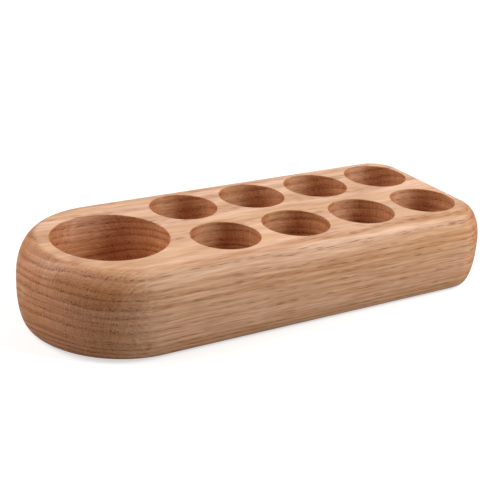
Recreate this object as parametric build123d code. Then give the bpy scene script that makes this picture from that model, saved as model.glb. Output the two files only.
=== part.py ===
"""Egg holder tray: an oak block cut with egg cups and one large bowl, standing on low rubber feet.

Units are millimetres. The origin is the middle of the tray's footprint, on the surface it stands on.
+X runs from the half-round nose to the squared tail, +Y towards the back row of cups, and +Z is up.
"""

import os

from build123d import *

# Oak block. Each long edge is a quarter ellipse, given as how far it cuts in and how tall it is.
TRAY_LENGTH = 288.0
TRAY_WIDTH = 115.0
BLOCK_HEIGHT = 50.0
TAIL_CORNER_RADIUS = 25.0
TOP_EDGE_INSET = 12.0
TOP_EDGE_HEIGHT = 22.0
BOTTOM_EDGE_INSET = 6.0
BOTTOM_EDGE_HEIGHT = 23.0

# Egg cups, on one pitch both along a row and between the rows
CUP_RADIUS = 20.0
CUP_DEPTH = 32.0
CUP_CORNER_RADIUS = 10.0
CUP_PITCH = 48.0
CUPS_PER_ROW = 4
ROWS = 2

# Large bowl in the nose
BOWL_RADIUS = 33.0
BOWL_DEPTH = 38.0
BOWL_CORNER_RADIUS = 12.0
BOWL_FROM_NOSE = 50.5

# The rims of the cups and the bowl are eased by hand with fine paper
RIM_EASE = 0.5

# Rubber feet, each glued in a shallow counterbore
FOOT_RADIUS = 8.0
FOOT_HEIGHT = 3.5
FOOT_PROUD = 1.5
FOOT_SIDE_CLEARANCE = 0.1
FOOT_EDGE_RADIUS = 0.8
FOOT_DISH_RADIUS = 5.0
FOOT_DISH_DEPTH = 0.4
FOOT_FROM_SIDE = 25.0
FOOT_FROM_NOSE = 46.0
FOOT_FROM_TAIL = 26.0

# Places worked out from the sizes above
NOSE_X = -TRAY_LENGTH / 2
TAIL_X = TRAY_LENGTH / 2
HALF_WIDTH = TRAY_WIDTH / 2
NOSE_CENTRE_X = NOSE_X + HALF_WIDTH
TAIL_CENTRE_X = TAIL_X - TAIL_CORNER_RADIUS
TAIL_CENTRE_Y = HALF_WIDTH - TAIL_CORNER_RADIUS
BLOCK_BOTTOM = FOOT_PROUD
BLOCK_TOP = BLOCK_BOTTOM + BLOCK_HEIGHT
CUP_EDGE_MARGIN = HALF_WIDTH - CUP_PITCH / 2
BOWL_X = NOSE_X + BOWL_FROM_NOSE
FOOT_Y = HALF_WIDTH - FOOT_FROM_SIDE


def half_section(reach, plane):
    """The block's section from an upright centre line out to its side wall, `reach` away, on a plane."""
    lower_edge = EllipticalCenterArc(
        (reach - BOTTOM_EDGE_INSET, BLOCK_BOTTOM + BOTTOM_EDGE_HEIGHT),
        BOTTOM_EDGE_INSET,
        BOTTOM_EDGE_HEIGHT,
        start_angle=270,
        arc_size=90,
    )
    upper_edge = EllipticalCenterArc(
        (reach - TOP_EDGE_INSET, BLOCK_TOP - TOP_EDGE_HEIGHT),
        TOP_EDGE_INSET,
        TOP_EDGE_HEIGHT,
        start_angle=0,
        arc_size=90,
    )
    outline = [
        Line((0, BLOCK_BOTTOM), lower_edge @ 0),
        lower_edge,
        Line(lower_edge @ 1, upper_edge @ 0),
        upper_edge,
        Line(upper_edge @ 1, (0, BLOCK_TOP)),
        Line((0, BLOCK_TOP), (0, BLOCK_BOTTOM)),
    ]
    return plane * make_face(outline)


def nose():
    """The half-round end: the section turned half a turn about the nose's centre."""
    section = half_section(HALF_WIDTH, Plane.XZ)
    return Pos(NOSE_CENTRE_X, 0, 0) * revolve(section.rotate(Axis.Z, 90), Axis.Z, 180)


def straight_run():
    """The long middle, with both side edges, from the nose's centre to the tail corners' centres."""
    length = TAIL_CENTRE_X - NOSE_CENTRE_X
    left_half = extrude(half_section(HALF_WIDTH, Plane.YZ), length)
    return Pos(NOSE_CENTRE_X, 0, 0) * (left_half + mirror(left_half, Plane.XZ))


def tail():
    """The squared end: two quarter-round corners and the straight stretch between them."""
    section = half_section(TAIL_CORNER_RADIUS, Plane.XZ)
    quarter = revolve(section, Axis.Z, 90)
    back_corner = Pos(TAIL_CENTRE_X, TAIL_CENTRE_Y, 0) * quarter
    front_corner = mirror(back_corner, Plane.XZ)
    between = extrude(section, TAIL_CENTRE_Y, both=True)
    return back_corner + front_corner + Pos(TAIL_CENTRE_X, 0, 0) * between


def recess(radius, depth, corner_radius):
    """A recess to cut from the block, centred on Z: flat floor, round corner, straight wall and eased rim."""
    floor_z = BLOCK_TOP - depth
    clear_z = BLOCK_TOP + RIM_EASE
    corner = CenterArc((radius - corner_radius, floor_z + corner_radius), corner_radius, 270, 90)
    ease = CenterArc((radius + RIM_EASE, BLOCK_TOP - RIM_EASE), RIM_EASE, 90, 90)
    outline = [
        Line((0, floor_z), corner @ 0),
        corner,
        Line(corner @ 1, ease @ 1),
        ease,
        Polyline(ease @ 0, (radius + RIM_EASE, clear_z), (0, clear_z), (0, floor_z)),
    ]
    return revolve(Plane.XZ * make_face(outline), Axis.Z)


def cup_centres():
    """The centre of each egg cup in plan, row by row, spaced back from the tail."""
    centres = []
    for row in range(ROWS):
        for column in range(CUPS_PER_ROW):
            x = TAIL_X - CUP_EDGE_MARGIN - CUP_PITCH * (CUPS_PER_ROW - 1 - column)
            y = CUP_PITCH * (row - (ROWS - 1) / 2)
            centres.append((x, y))
    return centres


def foot_centres():
    """Each foot's node name and its centre in plan."""
    ends = {"left": NOSE_X + FOOT_FROM_NOSE, "right": TAIL_X - FOOT_FROM_TAIL}
    sides = {"front": -FOOT_Y, "back": FOOT_Y}
    return {f"foot_{side}_{end}": (x, y) for side, y in sides.items() for end, x in ends.items()}


def tray_body():
    """The oak block with its cups, its bowl and the four counterbores under it."""
    block = nose() + straight_run() + tail()
    cup = recess(CUP_RADIUS, CUP_DEPTH, CUP_CORNER_RADIUS)
    for x, y in cup_centres():
        block -= Pos(x, y, 0) * cup
    block -= Pos(BOWL_X, 0, 0) * recess(BOWL_RADIUS, BOWL_DEPTH, BOWL_CORNER_RADIUS)
    seat_depth = FOOT_HEIGHT - FOOT_PROUD
    seat = Cylinder(FOOT_RADIUS + FOOT_SIDE_CLEARANCE, 2 * seat_depth)
    for x, y in foot_centres().values():
        block -= Pos(x, y, BLOCK_BOTTOM) * seat
    return block


def foot():
    """One rubber foot standing on the ground at the origin: a round pad with a soft edge and a dished sole."""
    pad = Pos(0, 0, FOOT_HEIGHT / 2) * Cylinder(FOOT_RADIUS, FOOT_HEIGHT)
    pad = fillet(pad.edges().group_by(Axis.Z)[0], FOOT_EDGE_RADIUS)
    dish = Cone(FOOT_DISH_RADIUS, FOOT_DISH_RADIUS - FOOT_DISH_DEPTH, 2 * FOOT_DISH_DEPTH)
    return pad - dish


os.makedirs("parts", exist_ok=True)
export_step(tray_body(), "parts/tray_body.step")
for node, (x, y) in foot_centres().items():
    export_step(Pos(x, y, 0) * foot(), f"parts/{node}.step")
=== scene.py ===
"""Egg holder tray in Blender 4.5: an oiled oak block with egg cups and a bowl, on four rubber feet.

Everything is in metres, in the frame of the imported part: the origin is the middle of the footprint on
the surface that the tray stands on, +X runs from the half-round nose to the squared tail, +Y towards
the back row of cups, and +Z is up.
"""

import logging
import math
from collections.abc import Callable, Iterator
from contextlib import contextmanager
from dataclasses import dataclass, field
from enum import Enum
from typing import Any

import bmesh
import bpy
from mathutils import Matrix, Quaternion, Vector


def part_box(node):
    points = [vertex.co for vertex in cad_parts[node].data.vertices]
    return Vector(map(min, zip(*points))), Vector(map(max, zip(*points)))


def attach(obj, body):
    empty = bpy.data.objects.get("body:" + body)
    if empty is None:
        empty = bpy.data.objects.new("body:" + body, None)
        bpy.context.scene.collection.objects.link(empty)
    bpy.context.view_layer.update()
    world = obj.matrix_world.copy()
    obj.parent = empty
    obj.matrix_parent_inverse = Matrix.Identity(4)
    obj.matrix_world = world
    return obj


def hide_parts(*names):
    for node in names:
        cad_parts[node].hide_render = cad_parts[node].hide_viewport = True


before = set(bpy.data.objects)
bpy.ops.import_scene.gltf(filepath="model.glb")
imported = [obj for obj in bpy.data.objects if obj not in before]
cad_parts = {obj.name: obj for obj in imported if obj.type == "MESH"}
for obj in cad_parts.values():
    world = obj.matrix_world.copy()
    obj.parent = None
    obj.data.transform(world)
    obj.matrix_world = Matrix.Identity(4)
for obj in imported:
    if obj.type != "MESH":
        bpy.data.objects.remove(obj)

log = logging.getLogger("egg_holder_tray")

Tree = bpy.types.NodeTree
Socket = bpy.types.NodeSocket
Pair = tuple[float, float]
Place = tuple[float, float, float]
Colour = tuple[float, float, float, float]

MM = 0.001
# The face attribute that marks the faces of a recess, where the oak's finish paints shade
BORED = "bored"
# A face is level when its normal is this upright
LEVEL = 0.999
# Corners nearer than this are one corner
WELD = 1e-6
QUARTER_TURN = math.radians(90)
# The bevel profile that is a true round
ROUND = 0.5
WHITE: Colour = (1.0, 1.0, 1.0, 1.0)
# A colour Mix node takes its two colours at sockets UNDER and OVER, and gives its own at MIXED
UNDER, OVER, MIXED = 6, 7, 2


class Slot(Enum):
    """The record's material slots."""

    OAK = "oak"
    RUBBER = "rubber"


class FootPlace(Enum):
    """The four feet, by the CAD node that each one stands for."""

    FRONT_LEFT = "foot_front_left"
    FRONT_RIGHT = "foot_front_right"
    BACK_LEFT = "foot_back_left"
    BACK_RIGHT = "foot_back_right"


# ---------------------------------------------------------------------------------------------------
# Workbench: selecting, editing and joining
# ---------------------------------------------------------------------------------------------------


def clear_selection() -> None:
    """Deselects every object, the CAD nodes among them."""
    bpy.ops.object.select_all(action="DESELECT")


def take(*objs: bpy.types.Object) -> None:
    """Selects only these objects and makes the first one active.

    Args:
        objs: The objects to work on.
    """
    clear_selection()
    for obj in objs:
        obj.select_set(True)
    bpy.context.view_layer.objects.active = objs[0]


@contextmanager
def editing(obj: bpy.types.Object) -> Iterator[None]:
    """Opens one object in edit mode with nothing selected, and leaves it in object mode.

    Args:
        obj: The mesh object to edit.

    Returns:
        A context in which the mesh operators act on the object.
    """
    take(obj)
    bpy.ops.object.mode_set(mode="EDIT")
    bpy.ops.mesh.select_all(action="DESELECT")
    try:
        yield
    finally:
        bpy.ops.object.mode_set(mode="OBJECT")


def pick_faces(obj: bpy.types.Object, wanted: Callable[[bmesh.types.BMFace], bool]) -> None:
    """Selects the faces that pass a test, and nothing else, in edit mode.

    Args:
        obj: The object in edit mode.
        wanted: Says whether a face is wanted, from its normal or its place.
    """
    bpy.ops.mesh.select_all(action="DESELECT")
    bpy.ops.mesh.select_mode(type="FACE")
    for face in bmesh.from_edit_mesh(obj.data).faces:
        if wanted(face):
            face.select_set(True)
    bmesh.update_edit_mesh(obj.data)


def pick_edges(obj: bpy.types.Object, wanted: Callable[[bmesh.types.BMEdge], bool]) -> None:
    """Selects the edges that pass a test, and nothing else, in edit mode.

    Args:
        obj: The object in edit mode.
        wanted: Says whether an edge is wanted, from the places of its ends.
    """
    bpy.ops.mesh.select_all(action="DESELECT")
    bpy.ops.mesh.select_mode(type="EDGE")
    for edge in bmesh.from_edit_mesh(obj.data).edges:
        if wanted(edge):
            edge.select_set(True)
    bmesh.update_edit_mesh(obj.data)


def round_picked_edges(radius: float, steps: int) -> None:
    """Rounds the selected edges, in edit mode.

    Args:
        radius: The round's radius.
        steps: How many flats make the round.
    """
    bpy.ops.mesh.bevel(offset_type="OFFSET", offset=radius, segments=steps, profile=ROUND, affect="EDGES")


def weld(obj: bpy.types.Object) -> None:
    """Makes one corner of the corners that lie together."""
    with editing(obj):
        bpy.ops.mesh.select_all(action="SELECT")
        bpy.ops.mesh.remove_doubles(threshold=WELD)


def faces_up(face: bmesh.types.BMFace) -> bool:
    """True for a face that looks straight up."""
    return face.normal.z > LEVEL


def faces_down(face: bmesh.types.BMFace) -> bool:
    """True for a face that looks straight down."""
    return face.normal.z < -LEVEL


def node_centre(node: str) -> Pair:
    """Finds the middle of a CAD node in plan, to 0.1 mm, because its round parts are drawn with flats.

    Args:
        node: The node's name.

    Returns:
        How far along the tray and how far across it the middle is.
    """
    low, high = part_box(node)
    return round((low[0] + high[0]) / 2, 4), round((low[1] + high[1]) / 2, 4)


def settle_place(obj: bpy.types.Object) -> None:
    """Moves an object's place and size into its mesh, so that the object sits at the origin."""
    take(obj)
    bpy.ops.object.transform_apply(location=True, rotation=True, scale=True)


def add_cylinder(
    name: str, radius: float, segments: int, centre: Pair, low: float, high: float
) -> bpy.types.Object:
    """Stands a cylinder on end.

    Args:
        name: Its name.
        radius: Its radius.
        segments: How many flats go round it.
        centre: Where its axis stands, along the tray and across it.
        low: The height of its underside.
        high: The height of its top.

    Returns:
        The cylinder, with its place in its mesh.
    """
    clear_selection()
    bpy.ops.mesh.primitive_cylinder_add(
        vertices=segments, radius=radius, depth=high - low, location=(*centre, (low + high) / 2)
    )
    obj = bpy.context.object
    obj.name = name
    obj.data.name = name
    settle_place(obj)
    return obj


def copy_of(obj: bpy.types.Object, name: str, shift: Place) -> bpy.types.Object:
    """Copies a piece with its own mesh and moves the copy's mesh.

    Args:
        obj: The piece to copy.
        name: The copy's name.
        shift: How far to move the copy, in metres.

    Returns:
        The copy, sitting at the origin.
    """
    take(obj)
    bpy.ops.object.duplicate(linked=False)
    twin = bpy.context.view_layer.objects.active
    twin.name = name
    twin.data.name = name
    twin.location = shift
    settle_place(twin)
    return twin


def smooth_by_angle(obj: bpy.types.Object, angle: float) -> None:
    """Shades a piece smooth, keeping edges sharper than an angle crisp and flat faces truly flat.

    Args:
        obj: The piece.
        angle: The angle in degrees above which an edge stays crisp.
    """
    take(obj)
    bpy.ops.object.shade_smooth_by_angle(angle=math.radians(angle))
    bpy.ops.object.modifier_add(type="WEIGHTED_NORMAL")
    weighted = obj.modifiers[-1]
    weighted.mode = "FACE_AREA"
    weighted.weight = 100
    weighted.keep_sharp = True
    bpy.ops.object.modifier_apply(modifier=weighted.name)


def add_to_part(piece: bpy.types.Object, node: str, slot: Slot) -> None:
    """Lets a finished piece ride on the part's body in place of its CAD node.

    Args:
        piece: The finished piece.
        node: The CAD node that it stands for.
        slot: The record's material slot for its finish, which this only logs.
    """
    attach(piece, "root")
    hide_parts(node)
    log.info("%s: %d faces, %s", piece.name, len(piece.data.polygons), slot.value)


# ---------------------------------------------------------------------------------------------------
# Finishes
# ---------------------------------------------------------------------------------------------------


def to_linear(hex_colour: str) -> Colour:
    """Turns an sRGB hex colour to linear.

    Args:
        hex_colour: The colour as #rrggbb.

    Returns:
        Linear red, green, blue and an alpha of 1.
    """
    channels = [int(hex_colour[i : i + 2], 16) / 255 for i in (1, 3, 5)]
    linear = [c / 12.92 if c <= 0.04045 else ((c + 0.055) / 1.055) ** 2.4 for c in channels]
    return (linear[0], linear[1], linear[2], 1.0)


def add_node(
    tree: Tree,
    kind: str,
    settings: dict[str, Any] | None = None,
    inputs: dict[int | str, Any] | None = None,
) -> bpy.types.Node:
    """Adds a node with its settings, its numbers and its links.

    Args:
        tree: The node tree.
        kind: The node's type, without the ShaderNode that begins its name.
        settings: The node's own settings, by name.
        inputs: What goes into its sockets: a number, a colour, or another node's output socket.

    Returns:
        The node.
    """
    node = tree.nodes.new(f"ShaderNode{kind}")
    for name, value in (settings or {}).items():
        setattr(node, name, value)
    for socket, value in (inputs or {}).items():
        if isinstance(value, Socket):
            tree.links.new(value, node.inputs[socket])
        else:
            node.inputs[socket].default_value = value
    return node


def new_material(name: str) -> tuple[bpy.types.Material, Tree]:
    """Makes an empty node material.

    Args:
        name: The material's name.

    Returns:
        The material and its node tree, with no nodes.
    """
    material = bpy.data.materials.new(name)
    material.use_nodes = True
    material.node_tree.nodes.clear()
    return material, material.node_tree


@dataclass(frozen=True)
class OiledOak:
    """Solid red oak, sanded fine and wiped with oil: a soft sheen, open pores, and darker end grain.

    The figure is solid, in three dimensions. Growth rings run round a pith that lies along the block,
    below it, so the sides show straight lines, the top shows broad faint streaks, and the ends and the
    walls of the cups that cut across the grain show bands of dots. Lengths are in millimetres, and a
    size of three numbers is along the trunk and then across it.
    """

    # The ground colour's two ends, the browner early wood, the rays and the oil-dark vessels
    pale: str = "#f1c4a3"
    tan: str = "#e3b182"
    early_wood: str = "#a8673a"
    ray: str = "#a06640"
    vessel: str = "#7c3f1b"
    # How the darkest fibres stain the ground colour, as a share of it
    dark_fibre: str = "#d8c2ae"
    # How much of each colour shows on wood cut along the grain, and on wood cut across it
    early_share: Pair = (0.42, 0.68)
    ray_share: Pair = (0.08, 0.30)
    vessel_share: Pair = (0.50, 0.85)
    # What oil does to wood cut across the grain, as a share of each colour
    end_grain: str = "#ebd3bd"
    # Painted shade inside the bowl and the cups: a recess takes this share of the end grain's darker tint
    painted_recess_shade: float = 0.15

    pith_y: float = -34.0
    pith_z: float = -150.0
    ring_width: float = 4.6
    ring_start: float = 0.6
    # How porous a ring is, from its start to its end, as (share of the ring, level)
    ring_levels: tuple[Pair, ...] = ((0.07, 1.0), (0.22, 0.75), (0.42, 0.25), (0.66, 0.03), (0.92, 0.0))
    ring_joint_level: float = 0.5
    poorest_year: float = 0.5
    # How much the rings' widths vary from year to year, in rings
    ring_luck: float = 1.3
    # How far the rings stray from true circles, slowly and quickly, and over what lengths
    drift: float = 7.0
    drift_size: Place = (170.0, 50.0, 50.0)
    ripple: float = 1.6
    ripple_size: Place = (45.0, 11.0, 11.0)
    # How far the fibres wander, and over what lengths
    wander: Place = (0.0, 2.6, 2.6)
    wander_size: Place = (26.0, 7.0, 7.0)

    # A real vessel is about 0.3 mm across: it is drawn coarser, because 0.3 mm wouldn't show
    vessel_size: Place = (9.0, 0.7, 0.7)
    # A vessel's edge and its full depth, as distances from the middle of its cell
    vessel_edge: Pair = (0.62, 0.24)
    # How likely a vessel is in late wood and in early wood, and the margin that opens it fully
    vessel_chance: Pair = (0.06, 1.0)
    vessel_margin: float = 0.25
    # A ray's length along the trunk, its thickness and its height: drawn coarser, as the vessels are
    ray_size: Place = (9.0, 0.45, 15.0)
    # Real fibres are far finer: they are drawn in bundles, because one wouldn't show
    fibre_size: Place = (20.0, 0.8, 0.8)
    # The thin layers of a ring: along the trunk, round it and out from the pith
    layer_size: Place = (45.0, 22.0, 1.1)
    streak_size: Place = (200.0, 11.0, 11.0)
    # The values of their clouds between which these grow from nothing to full
    ray_range: Pair = (0.42, 0.66)
    line_range: Pair = (0.72, 1.28)
    streak_range: Pair = (0.35, 0.65)
    # How squarely a face looks along the trunk when it starts to count as end grain, and fully counts
    end_range: Pair = (0.05, 0.65)

    roughness: float = 0.52
    vessel_roughness: float = 0.72
    ior: float = 1.5
    relief: float = 0.1

    def build(self) -> bpy.types.Material:
        """Builds the material.

        Returns:
            The material.
        """
        material, tree = new_material("oiled_red_oak")
        place = add_node(tree, "TexCoord").outputs["Object"]
        mm = add_node(tree, "VectorMath", {"operation": "SCALE"}, {0: place, "Scale": 1000.0}).outputs[0]
        trunk = self._round_the_pith(tree, mm)
        bent = self._wandering_grain(tree, mm)
        early = self._early_wood(tree, trunk)
        rays = self._rays(tree, trunk)
        vessels = self._vessels(tree, bent, early)
        lines = self._fine_lines(tree, bent, trunk)
        end_grain_and_recess_shade = self._end_grain_and_recess_shade(tree)
        colour = self._ground(tree, bent, lines)

        # Each feature covers the colours before it
        for feature, (along, across), hue in (
            (early, self.early_share, self.early_wood),
            (rays, self.ray_share, self.ray),
            (vessels, self.vessel_share, self.vessel),
        ):
            share = add_node(
                tree, "MapRange", {}, {"Value": end_grain_and_recess_shade, "To Min": along, "To Max": across}
            ).outputs["Result"]
            share = add_node(tree, "Math", {"operation": "MULTIPLY"}, {0: feature, 1: share}).outputs[0]
            colour = add_node(
                tree,
                "Mix",
                {"data_type": "RGBA"},
                {"Factor": share, UNDER: colour, OVER: to_linear(hue)},
            ).outputs[MIXED]
        # The end grain's darker tint, with painted shade inside the bowl and the cups
        end_grain_and_shade_tint = add_node(
            tree,
            "Mix",
            {"data_type": "RGBA"},
            {"Factor": end_grain_and_recess_shade, UNDER: WHITE, OVER: to_linear(self.end_grain)},
        ).outputs[MIXED]
        colour = add_node(tree, "VectorMath", {"operation": "MULTIPLY"}, {0: colour, 1: end_grain_and_shade_tint}).outputs[0]

        # Relief: open vessels, and fibres that the paper has left proud
        height = add_node(tree, "Math", {"operation": "SUBTRACT"}, {0: lines, 1: vessels}).outputs[0]
        relief = add_node(
            tree, "Bump", {}, {"Strength": 0.6, "Distance": self.relief * MM, "Height": height}
        ).outputs["Normal"]
        gloss = add_node(
            tree,
            "MapRange",
            {},
            {"Value": vessels, "To Min": self.roughness, "To Max": self.vessel_roughness},
        ).outputs["Result"]
        shader = add_node(
            tree,
            "BsdfPrincipled",
            {},
            {"Base Color": colour, "Roughness": gloss, "IOR": self.ior, "Normal": relief},
        ).outputs["BSDF"]
        add_node(tree, "OutputMaterial", {}, {"Surface": shader})
        return material

    @staticmethod
    def _clouds(tree: Tree, place: Socket, size: Place, layers: float) -> bpy.types.Node:
        """Spreads clouds that are stretched along the grain.

        Args:
            tree: The node tree.
            place: The place that they are read at, in millimetres.
            size: How large they are each way, in millimetres.
            layers: How many finer layers they have.

        Returns:
            The clouds' node, whose first output is from 0 to 1.
        """
        shrunk = add_node(tree, "VectorMath", {"operation": "DIVIDE"}, {0: place, 1: size}).outputs[0]
        return add_node(tree, "TexNoise", {}, {"Vector": shrunk, "Scale": 1.0, "Detail": layers})

    def _round_the_pith(self, tree: Tree, mm: Socket) -> Socket:
        """Measures each place along the trunk, round it and out from the pith.

        Args:
            tree: The node tree.
            mm: The place in millimetres.

        Returns:
            The length along the trunk, the arc round it and the radius, all in millimetres.
        """
        pith = (0.0, self.pith_y, self.pith_z)
        from_pith = add_node(tree, "VectorMath", {"operation": "SUBTRACT"}, {0: mm, 1: pith}).outputs[0]
        flat = add_node(
            tree, "VectorMath", {"operation": "MULTIPLY"}, {0: from_pith, 1: (0.0, 1.0, 1.0)}
        ).outputs[0]
        radius = add_node(tree, "VectorMath", {"operation": "LENGTH"}, {0: flat}).outputs["Value"]

        # The trunk isn't a true cylinder: the rings drift slowly and ripple a little
        for size, layers, reach in (
            (self.drift_size, 1.0, self.drift),
            (self.ripple_size, 2.0, self.ripple),
        ):
            stray = self._clouds(tree, mm, size, layers).outputs[0]
            radius = add_node(
                tree, "Math", {"operation": "MULTIPLY_ADD"}, {0: stray, 1: reach, 2: radius}
            ).outputs[0]

        split = add_node(tree, "SeparateXYZ", {}, {0: from_pith}).outputs
        angle = add_node(tree, "Math", {"operation": "ARCTAN2"}, {0: split["Y"], 1: split["Z"]}).outputs[0]
        arc = add_node(tree, "Math", {"operation": "MULTIPLY"}, {0: angle, 1: -self.pith_z}).outputs[0]
        return add_node(tree, "CombineXYZ", {}, {"X": split["X"], "Y": arc, "Z": radius}).outputs[0]

    def _wandering_grain(self, tree: Tree, mm: Socket) -> Socket:
        """Bends each place sideways, so that the fibres and vessels wander as they run along the trunk.

        Args:
            tree: The node tree.
            mm: The place in millimetres.

        Returns:
            The bent place in millimetres.
        """
        sideways = self._clouds(tree, mm, self.wander_size, 1.0).outputs["Color"]
        return add_node(
            tree, "VectorMath", {"operation": "MULTIPLY_ADD"}, {0: sideways, 1: self.wander, 2: mm}
        ).outputs[0]

    def _early_wood(self, tree: Tree, trunk: Socket) -> Socket:
        """Lays the growth rings, each of which begins with porous early wood.

        Args:
            tree: The node tree.
            trunk: The place along the trunk, round it and out from the pith.

        Returns:
            How much a place is early wood, from 0 to 1.
        """
        radius = add_node(tree, "SeparateXYZ", {}, {0: trunk}).outputs["Z"]
        ring = add_node(
            tree,
            "Math",
            {"operation": "MULTIPLY_ADD"},
            {0: radius, 1: 1 / self.ring_width, 2: self.ring_start},
        ).outputs[0]
        # Wet and dry years: the rings aren't all the same width or strength
        years = add_node(
            tree, "TexNoise", {"noise_dimensions": "1D"}, {"W": ring, "Scale": 0.42, "Detail": 0.0}
        ).outputs[0]
        count = add_node(
            tree, "Math", {"operation": "MULTIPLY_ADD"}, {0: years, 1: self.ring_luck, 2: ring}
        ).outputs[0]
        phase = add_node(tree, "Math", {"operation": "FRACT"}, {0: count}).outputs[0]
        year = add_node(tree, "Math", {"operation": "FLOOR"}, {0: count}).outputs[0]
        luck = add_node(tree, "TexWhiteNoise", {"noise_dimensions": "1D"}, {"W": year}).outputs["Value"]
        strength = add_node(
            tree, "MapRange", {}, {"Value": luck, "To Min": self.poorest_year, "To Max": 1.0}
        ).outputs["Result"]
        # The start is sharp in life: it is drawn a little soft, because a hard line would show as steps
        profile = add_node(tree, "ValToRGB", {}, {"Fac": phase})
        stops = profile.color_ramp.elements
        for joint in stops:
            joint.color = (*[self.ring_joint_level] * 3, 1.0)
        for position, level in self.ring_levels:
            stops.new(position).color = (level, level, level, 1.0)
        return add_node(
            tree, "Math", {"operation": "MULTIPLY"}, {0: profile.outputs["Color"], 1: strength}
        ).outputs[0]

    def _rays(self, tree: Tree, trunk: Socket) -> Socket:
        """Stands thin sheets on edge, pointing at the pith: fine upright lines on the ends.

        Args:
            tree: The node tree.
            trunk: The place along the trunk, round it and out from the pith.

        Returns:
            How much a place is in a ray, from 0 to 1.
        """
        sheets = self._clouds(tree, trunk, self.ray_size, 1.0).outputs[0]
        return add_node(
            tree,
            "MapRange",
            {"interpolation_type": "SMOOTHSTEP"},
            {"Value": sheets, "From Min": self.ray_range[0], "From Max": self.ray_range[1]},
        ).outputs["Result"]

    def _vessels(self, tree: Tree, bent: Socket, early: Socket) -> Socket:
        """Opens long vessels, most of them in the early wood: dots on the ends, dashes on the sides.

        Args:
            tree: The node tree.
            bent: The wandering place in millimetres.
            early: How much a place is early wood.

        Returns:
            How much a place is an open vessel, from 0 to 1.
        """
        shrunk = add_node(
            tree, "VectorMath", {"operation": "DIVIDE"}, {0: bent, 1: self.vessel_size}
        ).outputs[0]
        cells = add_node(tree, "TexVoronoi", {}, {"Vector": shrunk, "Scale": 1.0}).outputs
        hollow = add_node(
            tree,
            "MapRange",
            {"interpolation_type": "SMOOTHSTEP"},
            {
                "Value": cells["Distance"],
                "From Min": self.vessel_edge[0],
                "From Max": self.vessel_edge[1],
            },
        ).outputs["Result"]
        luck = add_node(tree, "SeparateColor", {}, {0: cells["Color"]}).outputs[0]
        late, full = self.vessel_chance
        chance = add_node(
            tree, "MapRange", {}, {"Value": early, "To Min": late, "To Max": full}
        ).outputs["Result"]
        margin = add_node(tree, "Math", {"operation": "SUBTRACT"}, {0: chance, 1: luck}).outputs[0]
        opened = add_node(
            tree, "MapRange", {}, {"Value": margin, "From Min": 0.0, "From Max": self.vessel_margin}
        ).outputs["Result"]
        return add_node(tree, "Math", {"operation": "MULTIPLY"}, {0: hollow, 1: opened}).outputs[0]

    def _fine_lines(self, tree: Tree, bent: Socket, trunk: Socket) -> Socket:
        """Draws the fibres, and the thin layers that each ring is made of.

        Args:
            tree: The node tree.
            bent: The wandering place in millimetres.
            trunk: The place along the trunk, round it and out from the pith.

        Returns:
            How light a place is, from 0 to 1.
        """
        fibres = self._clouds(tree, bent, self.fibre_size, 2.0).outputs[0]
        layers = self._clouds(tree, trunk, self.layer_size, 2.0).outputs[0]
        both = add_node(tree, "Math", {"operation": "ADD"}, {0: fibres, 1: layers}).outputs[0]
        dark, light = self.line_range
        return add_node(
            tree, "MapRange", {}, {"Value": both, "From Min": dark, "From Max": light}
        ).outputs["Result"]

    def _ground(self, tree: Tree, bent: Socket, lines: Socket) -> Socket:
        """Colours the wood between the features: broad streaks, stained by the fibres.

        Args:
            tree: The node tree.
            bent: The wandering place in millimetres.
            lines: How light the fibres are.

        Returns:
            The colour.
        """
        streaks = self._clouds(tree, bent, self.streak_size, 2.0).outputs[0]
        pale, tan = self.streak_range
        streaks = add_node(
            tree, "MapRange", {}, {"Value": streaks, "From Min": pale, "From Max": tan}
        ).outputs["Result"]
        wood = add_node(
            tree,
            "Mix",
            {"data_type": "RGBA"},
            {"Factor": streaks, UNDER: to_linear(self.pale), OVER: to_linear(self.tan)},
        ).outputs[MIXED]
        stain = add_node(
            tree,
            "Mix",
            {"data_type": "RGBA"},
            {"Factor": lines, UNDER: to_linear(self.dark_fibre), OVER: WHITE},
        ).outputs[MIXED]
        return add_node(tree, "VectorMath", {"operation": "MULTIPLY"}, {0: wood, 1: stain}).outputs[0]

    def _end_grain_and_recess_shade(self, tree: Tree) -> Socket:
        """Finds the wood cut across the grain, which drinks more oil and dries darker, and adds painted
        shade inside the recesses.

        Args:
            tree: The node tree.

        Returns:
            How much a place is end grain, from 0 to 1.
        """
        normal = add_node(tree, "TexCoord").outputs["Normal"]
        facing = add_node(tree, "SeparateXYZ", {}, {0: normal}).outputs["X"]
        facing = add_node(tree, "Math", {"operation": "ABSOLUTE"}, {0: facing}).outputs[0]
        ends = add_node(
            tree,
            "MapRange",
            {"interpolation_type": "SMOOTHSTEP"},
            {"Value": facing, "From Min": self.end_range[0], "From Max": self.end_range[1]},
        ).outputs["Result"]
        # Painted shade: the faces of the bowl and the cups take part of the end grain's darker tint
        bored = add_node(tree, "Attribute", {"attribute_name": BORED}).outputs["Fac"]
        shaded_recess = add_node(tree, "Math", {"operation": "MULTIPLY"}, {0: bored, 1: self.painted_recess_shade}).outputs[0]
        return add_node(tree, "Math", {"operation": "MAXIMUM"}, {0: ends, 1: shaded_recess}).outputs[0]


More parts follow.
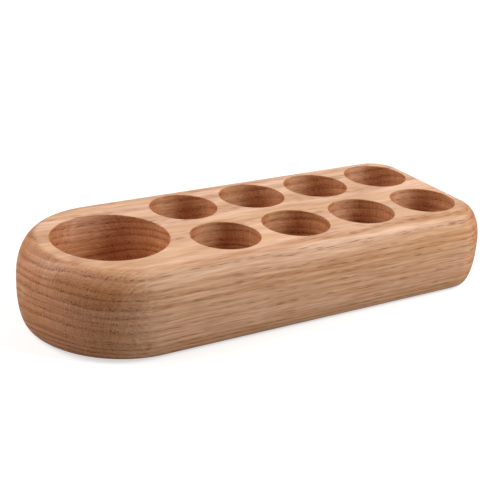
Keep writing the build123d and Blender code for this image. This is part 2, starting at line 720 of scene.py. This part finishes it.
@dataclass(frozen=True)
class MouldedRubber:
    """Soft non-slip rubber, moulded in a satin tool: near black, with a fine pebble and a little bloom."""

    fresh: str = "#2a2826"
    bloom: str = "#4a4744"
    # The tool's real pebble is about 0.1 mm: it is drawn at 0.4 mm, because finer wouldn't show
    pebble_size: float = 0.4
    # How high the pebble stands
    pebble_height: float = 0.08
    # How many patches of bloom there are to a millimetre
    dust_scale: float = 0.35
    roughness: float = 0.72
    dusty_roughness: float = 0.87
    ior: float = 1.52

    def build(self) -> bpy.types.Material:
        """Builds the material.

        Returns:
            The material.
        """
        material, tree = new_material("moulded_rubber")
        place = add_node(tree, "TexCoord").outputs["Object"]
        mm = add_node(tree, "VectorMath", {"operation": "SCALE"}, {0: place, "Scale": 1000.0}).outputs[0]
        pebble = add_node(
            tree, "TexNoise", {}, {"Vector": mm, "Scale": 1 / self.pebble_size, "Detail": 2.0}
        ).outputs[0]
        dust = add_node(
            tree, "TexNoise", {}, {"Vector": mm, "Scale": self.dust_scale, "Detail": 3.0}
        ).outputs[0]
        dust = add_node(
            tree, "MapRange", {}, {"Value": dust, "From Min": 0.42, "From Max": 0.68}
        ).outputs["Result"]
        colour = add_node(
            tree,
            "Mix",
            {"data_type": "RGBA"},
            {"Factor": dust, UNDER: to_linear(self.fresh), OVER: to_linear(self.bloom)},
        ).outputs[MIXED]
        gloss = add_node(
            tree,
            "MapRange",
            {},
            {"Value": dust, "To Min": self.roughness, "To Max": self.dusty_roughness},
        ).outputs["Result"]
        relief = add_node(
            tree, "Bump", {}, {"Strength": 0.5, "Distance": self.pebble_height * MM, "Height": pebble}
        ).outputs["Normal"]
        shader = add_node(
            tree,
            "BsdfPrincipled",
            {},
            {"Base Color": colour, "Roughness": gloss, "IOR": self.ior, "Normal": relief},
        ).outputs["BSDF"]
        add_node(tree, "OutputMaterial", {}, {"Surface": shader})
        return material


@dataclass(frozen=True)
class StudioPaper:
    """Seamless white paper: matt and even, with a faint tooth."""

    white: str = "#c4c3c1"
    shade: str = "#bfbebb"
    roughness: float = 0.9
    specular: float = 0.1
    # The paper is lit from below for the camera alone, faintly round the tray and fully out at its edges,
    # so the tray's shadow stays faint and the paper has no end
    near_glow: float = 0.62
    far_glow: float = 1.0
    near: float = 0.25
    far: float = 0.9

    def build(self) -> bpy.types.Material:
        """Builds the material.

        Returns:
            The material.
        """
        material, tree = new_material("studio_paper")
        place = add_node(tree, "TexCoord").outputs["Object"]
        tooth = add_node(tree, "TexNoise", {}, {"Vector": place, "Scale": 3.0, "Detail": 2.0}).outputs[0]
        colour = add_node(
            tree,
            "Mix",
            {"data_type": "RGBA"},
            {"Factor": tooth, UNDER: to_linear(self.white), OVER: to_linear(self.shade)},
        ).outputs[MIXED]
        seen = add_node(tree, "LightPath").outputs["Is Camera Ray"]
        away = add_node(tree, "VectorMath", {"operation": "LENGTH"}, {0: place}).outputs["Value"]
        glow = add_node(
            tree,
            "MapRange",
            {"interpolation_type": "SMOOTHSTEP"},
            {
                "Value": away,
                "From Min": self.near,
                "From Max": self.far,
                "To Min": self.near_glow,
                "To Max": self.far_glow,
            },
        ).outputs["Result"]
        glow = add_node(tree, "Math", {"operation": "MULTIPLY"}, {0: seen, 1: glow}).outputs[0]
        shader = add_node(
            tree,
            "BsdfPrincipled",
            {},
            {
                "Base Color": colour,
                "Roughness": self.roughness,
                "Specular IOR Level": self.specular,
                "Emission Color": WHITE,
                "Emission Strength": glow,
            },
        ).outputs["BSDF"]
        add_node(tree, "OutputMaterial", {}, {"Surface": shader})
        return material


# ---------------------------------------------------------------------------------------------------
# Sub-assemblies
# ---------------------------------------------------------------------------------------------------


@dataclass(frozen=True)
class Recess:
    """One round recess: flat floor, round corner, straight wall and a rim eased with fine paper."""

    radius: float
    depth: float
    corner_radius: float
    segments: int
    corner_steps: int = 14
    rim_ease: float = 0.5 * MM
    ease_steps: int = 5

    def cutter(self, name: str, centre: Pair, top: float) -> bpy.types.Object:
        """Makes the solid that cuts this recess from the block.

        Args:
            name: The cutter's name.
            centre: Where its axis stands, along the block and across it.
            top: The height of the block's top face.

        Returns:
            The cutter, a little taller than the recess.
        """
        floor = top - self.depth
        ease_foot = top - self.rim_ease
        obj = add_cylinder(name, self.radius, self.segments, centre, floor, ease_foot)
        with editing(obj):
            # The corner between floor and wall
            pick_edges(obj, lambda edge: all(v.co.z < floor + self.rim_ease for v in edge.verts))
            round_picked_edges(self.corner_radius, self.corner_steps)
            # The eased rim flares out in a quarter round
            pick_faces(obj, faces_up)
            radius, height = self.radius, ease_foot
            for step in range(1, self.ease_steps + 1):
                turn = QUARTER_TURN * step / self.ease_steps
                next_radius = self.radius + self.rim_ease * (1 - math.cos(turn))
                next_height = ease_foot + self.rim_ease * math.sin(turn)
                self._raise(next_height - height, next_radius / radius, (*centre, next_height))
                radius, height = next_radius, next_height
            self._raise(2 * self.rim_ease, 1.0, (*centre, height))
        return obj

    @staticmethod
    def _raise(rise: float, growth: float, centre: Place) -> None:
        """Extrudes the selected face upwards and grows it about its centre.

        Args:
            rise: How far up to extrude.
            growth: How many times as wide the new face is.
            centre: The centre of the new face.
        """
        bpy.ops.mesh.extrude_region_move(TRANSFORM_OT_translate={"value": (0.0, 0.0, rise)})
        bpy.ops.transform.resize(value=(growth, growth, 1.0), center_override=centre)


@dataclass
class OakBlock:
    """The oak block, with its half-round nose, its rounded tail, and all that is cut from it."""

    node: str = "tray_body"
    # The CAD node's lowest and highest corners, from which all the places below are worked out
    low: Place = field(init=False)
    high: Place = field(init=False)

    nose_radius: float = 57.5 * MM
    tail_radius: float = 25.0 * MM
    # The long edges are quarter ellipses: how far each one cuts in, and how tall it is
    top_edge: Pair = (12.0 * MM, 22.0 * MM)
    bottom_edge: Pair = (6.0 * MM, 23.0 * MM)

    nose_steps: int = 40
    tail_steps: int = 28
    edge_steps: int = 22

    cup: Recess = Recess(20.0 * MM, 32.0 * MM, 10.0 * MM, segments=112)
    bowl: Recess = Recess(33.0 * MM, 38.0 * MM, 12.0 * MM, segments=160)
    cup_pitch: float = 48.0 * MM
    cups_per_row: int = 4
    last_cup_from_tail: float = 33.5 * MM
    bowl_from_nose: float = 50.5 * MM

    seat_radius: float = 8.1 * MM
    seat_depth: float = 2.0 * MM
    seat_segments: int = 72
    crisp_angle: float = 32.0

    def __post_init__(self) -> None:
        """Takes the block's corners from the CAD node, to a micron."""
        self.low, self.high = (tuple(round(c, 6) for c in corner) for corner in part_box(self.node))

    def bowl_centre(self) -> Pair:
        """Where the bowl stands."""
        return self.low[0] + self.bowl_from_nose, 0.0

    def cup_columns(self) -> list[float]:
        """Where each column of cups stands, along the block."""
        last = self.high[0] - self.last_cup_from_tail
        return [last - self.cup_pitch * before for before in reversed(range(self.cups_per_row))]

    def cup_rows(self) -> list[float]:
        """Where each row of cups stands, across the block."""
        return [-self.cup_pitch / 2, self.cup_pitch / 2]

    def cup_centres(self) -> list[Pair]:
        """Where each cup stands, row by row."""
        return [(x, y) for y in self.cup_rows() for x in self.cup_columns()]

    def build(self, finish: bpy.types.Material, feet: "FootSet") -> None:
        """Builds the block, cuts it and dresses it.

        Args:
            finish: The wood's finish.
            feet: The feet, which say where the block is counterbored.
        """
        block = self._rounded_block()
        self._round_edge(block, faces_up, *self.top_edge)
        self._round_edge(block, faces_down, *self.bottom_edge)
        self._quarter(block, faces_up, [self.bowl_centre(), *self.cup_centres()])
        seats = list(feet.centres().values())
        self._quarter(block, faces_down, seats)
        self._cut(block, self._cutters(seats))
        self._dress(block, finish)
        add_to_part(block, self.node, Slot.OAK)

    def _rounded_block(self) -> bpy.types.Object:
        """Makes the straight middle of the block's height, round at the nose and at the tail's corners.

        Returns:
            The block, before its long edges.
        """
        low = Vector((*self.low[:2], self.low[2] + self.bottom_edge[1]))
        high = Vector((*self.high[:2], self.high[2] - self.top_edge[1]))
        clear_selection()
        bpy.ops.mesh.primitive_cube_add(size=1.0, location=(low + high) / 2, scale=high - low)
        block = bpy.context.object
        block.name = "oak_block"
        block.data.name = "oak_block"
        settle_place(block)
        self._round_corners(block, -1.0, self.nose_radius, self.nose_steps)
        self._round_corners(block, 1.0, self.tail_radius, self.tail_steps)
        return block

    @staticmethod
    def _round_corners(block: bpy.types.Object, end: float, radius: float, steps: int) -> None:
        """Rounds the two upright corners at one end.

        Args:
            block: The block.
            end: -1 for the nose, 1 for the tail.
            radius: The corner's radius.
            steps: How many flats make the corner.
        """

        def upright(edge: bmesh.types.BMEdge) -> bool:
            """True for an upright edge at this end."""
            first, last = (v.co for v in edge.verts)
            return abs(first.z - last.z) > MM and min(first.x * end, last.x * end) > radius

        with editing(block):
            pick_edges(block, upright)
            round_picked_edges(radius, steps)
        weld(block)

    def _round_edge(
        self,
        block: bpy.types.Object,
        facing: Callable[[bmesh.types.BMFace], bool],
        inset: float,
        height: float,
    ) -> None:
        """Grows the block past one flat face in a quarter ellipse.

        Args:
            block: The block.
            facing: Says which face is grown.
            inset: How far the ellipse cuts in.
            height: How tall it is.
        """
        with editing(block):
            pick_faces(block, facing)
            done_in, done_up = 0.0, 0.0
            for step in range(1, self.edge_steps + 1):
                turn = QUARTER_TURN * step / self.edge_steps
                next_in, next_up = inset * (1 - math.cos(turn)), height * math.sin(turn)
                bpy.ops.mesh.inset(
                    thickness=next_in - done_in, depth=next_up - done_up, use_even_offset=True
                )
                done_in, done_up = next_in, next_up

    @staticmethod
    def _quarter(
        block: bpy.types.Object,
        facing: Callable[[bmesh.types.BMFace], bool],
        centres: list[Pair],
    ) -> None:
        """Scores a flat face through the centres of its holes, so that no face is left with a hole in it.

        Args:
            block: The block.
            facing: Says which face is scored.
            centres: Where the holes stand.
        """
        scores = [((x, 0.0, 0.0), (1.0, 0.0, 0.0)) for x in sorted({x for x, _ in centres})]
        scores += [((0.0, y, 0.0), (0.0, 1.0, 0.0)) for y in sorted({y for _, y in centres})]
        with editing(block):
            for point, direction in scores:
                pick_faces(block, facing)
                bpy.ops.mesh.bisect(plane_co=point, plane_no=direction)

    def _cutters(self, seats: list[Pair]) -> list[bpy.types.Object]:
        """Makes a cutter for the bowl, for each cup and for each foot's seat.

        Args:
            seats: Where the seats stand.

        Returns:
            The cutters.
        """
        top, bottom = self.high[2], self.low[2]
        bowl = self.bowl.cutter("bowl_cutter", self.bowl_centre(), top)
        first, *others = self.cup_centres()
        cup = self.cup.cutter("cup_cutter", first, top)
        cups = [copy_of(cup, "cup_cutter_copy", (x - first[0], y - first[1], 0.0)) for x, y in others]
        below, above = bottom - self.seat_depth, bottom + self.seat_depth
        bores = [
            add_cylinder("seat_cutter", self.seat_radius, self.seat_segments, seat, below, above)
            for seat in seats
        ]
        return [bowl, cup, *cups, *bores]

    @staticmethod
    def _cut(block: bpy.types.Object, cutters: list[bpy.types.Object]) -> None:
        """Cuts every cutter from the block and clears the cutters away.

        Args:
            block: The block.
            cutters: The cutters, none of which meets another.
        """
        take(*cutters)
        bpy.ops.object.join()
        gang = bpy.context.view_layer.objects.active
        take(block)
        bpy.ops.object.modifier_add(type="BOOLEAN")
        cut = block.modifiers[-1]
        cut.operation = "DIFFERENCE"
        cut.solver = "EXACT"
        cut.object = gang
        bpy.ops.object.modifier_apply(modifier=cut.name)
        gang_mesh = gang.data
        bpy.data.objects.remove(gang)
        bpy.data.meshes.remove(gang_mesh)
        weld(block)
        with editing(block):
            bpy.ops.mesh.select_all(action="SELECT")
            bpy.ops.mesh.normals_make_consistent(inside=False)

    def _mark_bored(self, block: bpy.types.Object) -> None:
        """Marks the faces that the cutter left in the bowl and the cups, which get painted shade.

        Args:
            block: The cut block.
        """
        holes = [(self.bowl_centre(), self.bowl.radius)]
        holes += [(centre, self.cup.radius) for centre in self.cup_centres()]
        ease = self.cup.rim_ease
        # The deepest floor and the top face, with a little room: the top face isn't bored
        deepest = self.high[2] - self.bowl.depth - ease
        highest = self.high[2] - ease / 20

        def is_bored(face: bpy.types.MeshPolygon) -> bool:
            """True for a face inside one of the holes."""
            within = any(math.dist(face.center[:2], centre) < radius + ease for centre, radius in holes)
            return within and deepest < face.center.z < highest

        marks = block.data.attributes.new(BORED, "FLOAT", "FACE")
        marks.data.foreach_set("value", [float(is_bored(face)) for face in block.data.polygons])

    def _dress(self, block: bpy.types.Object, finish: bpy.types.Material) -> None:
        """Shades the block smooth and oils it.

        Args:
            block: The cut block.
            finish: The wood's finish.
        """
        smooth_by_angle(block, self.crisp_angle)
        self._mark_bored(block)
        block.data.materials.clear()
        block.data.materials.append(finish)


@dataclass
class FootSet:
    """The four rubber feet, each a round pad with a soft edge and a dished sole, glued in a seat."""

    radius: float = 8.0 * MM
    height: float = 3.5 * MM
    edge_radius: float = 0.8 * MM
    dish_radius: float = 5.0 * MM
    dish_depth: float = 0.4 * MM
    # A raised mark in the dish, left where the rubber ran into the mould
    gate_radius: float = 0.9 * MM
    gate_height: float = 0.15 * MM
    segments: int = 72
    edge_steps: int = 6
    crisp_angle: float = 50.0

    def centres(self) -> dict[FootPlace, Pair]:
        """Each foot's centre in plan."""
        return {place: node_centre(place.value) for place in FootPlace}

    def build(self, finish: bpy.types.Material) -> None:
        """Builds one foot, copies it to the other places and dresses all four.

        Args:
            finish: The rubber's finish.
        """
        centres = self.centres()
        first_x, first_y = centres[FootPlace.FRONT_LEFT]
        first = self._foot((first_x, first_y))
        first.data.materials.append(finish)
        feet = {FootPlace.FRONT_LEFT: first}
        for place, (x, y) in centres.items():
            if place not in feet:
                feet[place] = copy_of(first, self._name(place), (x - first_x, y - first_y, 0.0))
        for place, foot in feet.items():
            add_to_part(foot, place.value, Slot.RUBBER)

    @staticmethod
    def _name(place: FootPlace) -> str:
        """The name of the piece at a place."""
        return place.value.replace("foot", "rubber_foot")

    def _foot(self, centre: Pair) -> bpy.types.Object:
        """Makes one foot.

        Args:
            centre: Where its axis stands, along the tray and across it.

        Returns:
            The foot.
        """
        name = self._name(FootPlace.FRONT_LEFT)
        foot = add_cylinder(name, self.radius, self.segments, centre, 0.0, self.height)
        sole_radius = self.radius - self.edge_radius
        with editing(foot):
            pick_edges(foot, lambda edge: all(v.co.z < self.height / 2 for v in edge.verts))
            round_picked_edges(self.edge_radius, self.edge_steps)
            # The sole, its dish and the gate mark are one face stepped inwards
            pick_faces(foot, lambda face: faces_down(face) and len(face.verts) == self.segments)
            floor_radius = self.dish_radius - self.dish_depth
            # Each step's width and height. The dish's side is steep at first and then shallow
            for thickness, depth in (
                (sole_radius - self.dish_radius, 0.0),
                (self.dish_depth * 0.4, -self.dish_depth * 0.6),
                (self.dish_depth * 0.6, -self.dish_depth * 0.4),
                (floor_radius - self.gate_radius, 0.0),
                (self.gate_height * 0.5, self.gate_height),
            ):
                bpy.ops.mesh.inset(thickness=thickness, depth=depth, use_even_offset=True)
        smooth_by_angle(foot, self.crisp_angle)
        return foot


# ---------------------------------------------------------------------------------------------------
# Studio
# ---------------------------------------------------------------------------------------------------


@dataclass(frozen=True)
class SoftBox:
    """One soft light, aimed at the tray."""

    name: str
    place: Place
    width: float
    height: float
    power: float

    def build(self, aim: Place) -> None:
        """Hangs the light.

        Args:
            aim: The point that it faces.
        """
        data = bpy.data.lights.new(self.name, "AREA")
        data.shape = "RECTANGLE"
        data.size = self.width
        data.size_y = self.height
        data.energy = self.power
        light = bpy.data.objects.new(self.name, data)
        bpy.context.scene.collection.objects.link(light)
        light.location = self.place
        light.rotation_mode = "QUATERNION"
        light.rotation_quaternion = (Vector(aim) - Vector(self.place)).to_track_quat("-Z", "Y")
        light.visible_camera = False


@dataclass
class Studio:
    """A white paper floor, soft light from all sides, and the camera."""

    floor_size: float = 9.0
    room_light: float = 0.02
    aim: Place = (0.0, 0.0, 0.03)
    boxes: tuple[SoftBox, ...] = (
        SoftBox("key", (0.55, -0.55, 0.65), 0.4, 0.4, 6.8),
        SoftBox("side_key", (0.95, -0.35, 0.55), 0.5, 0.4, 2.8),
        SoftBox("top_fill", (-0.6, 0.1, 0.8), 0.5, 0.5, 3.2),
        SoftBox("left_fill", (-0.9, 0.35, 0.5), 0.5, 0.5, 1.8),
        SoftBox("back_fill", (-0.7, 0.6, 0.55), 0.5, 0.5, 3.7),
        SoftBox("sheen", (0.52, 0.76, 0.42), 1.1, 0.7, 3.8),
    )

    camera_aim: Place = (0.00011, 0.00024, 0.02711)
    camera_distance: float = 0.7101
    camera_azimuth: float = -34.185
    camera_elevation: float = 22.845
    camera_roll: float = 4.037
    lens: float = 85.36
    sensor: float = 36.0
    nearest: float = 0.05
    farthest: float = 50.0

    def build(self) -> None:
        """Lays the floor, hangs the lights and sets up the camera."""
        self._floor()
        self._room_light()
        for box in self.boxes:
            box.build(self.aim)
        self._camera()
        bpy.context.scene.view_settings.view_transform = "Standard"
        log.info("studio: floor, %d lights and camera", len(self.boxes))

    def _floor(self) -> None:
        """Lays the paper."""
        clear_selection()
        bpy.ops.mesh.primitive_plane_add(size=self.floor_size, location=(0.0, 0.0, 0.0))
        floor = bpy.context.object
        floor.name = "studio_floor"
        floor.data.materials.append(StudioPaper().build())

    def _room_light(self) -> None:
        """Fills the room with even white light."""
        world = bpy.data.worlds.new("studio_room")
        world.use_nodes = True
        tree = world.node_tree
        tree.nodes.clear()
        light = add_node(tree, "Background", {}, {"Color": WHITE, "Strength": self.room_light}).outputs[0]
        backdrop = add_node(tree, "Background", {}, {"Color": WHITE, "Strength": 1.0}).outputs[0]
        seen = add_node(tree, "LightPath").outputs["Is Camera Ray"]
        room = add_node(tree, "MixShader", {}, {0: seen, 1: light, 2: backdrop}).outputs[0]
        add_node(tree, "OutputWorld", {}, {"Surface": room})
        bpy.context.scene.world = world

    def _camera(self) -> None:
        """Sets up the camera."""
        data = bpy.data.cameras.new("studio_camera")
        data.sensor_width = self.sensor
        data.lens = self.lens
        data.clip_start = self.nearest
        data.clip_end = self.farthest
        camera = bpy.data.objects.new("studio_camera", data)
        bpy.context.scene.collection.objects.link(camera)
        azimuth, elevation = math.radians(self.camera_azimuth), math.radians(self.camera_elevation)
        back = Vector(
            (
                math.sin(azimuth) * math.cos(elevation),
                -math.cos(azimuth) * math.cos(elevation),
                math.sin(elevation),
            )
        )
        level = (-back).to_track_quat("-Z", "Y")
        roll = Quaternion((0.0, 0.0, 1.0), math.radians(self.camera_roll))
        camera.location = Vector(self.camera_aim) + back * self.camera_distance
        camera.rotation_mode = "QUATERNION"
        camera.rotation_quaternion = level @ roll
        bpy.context.scene.camera = camera


def main() -> None:
    """Builds the tray and its studio, in order."""
    logging.basicConfig(level=logging.INFO, format="%(name)s: %(message)s")
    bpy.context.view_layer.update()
    feet = FootSet()
    OakBlock().build(OiledOak().build(), feet)
    feet.build(MouldedRubber().build())
    Studio().build()


if __name__ == "__main__":
    main()
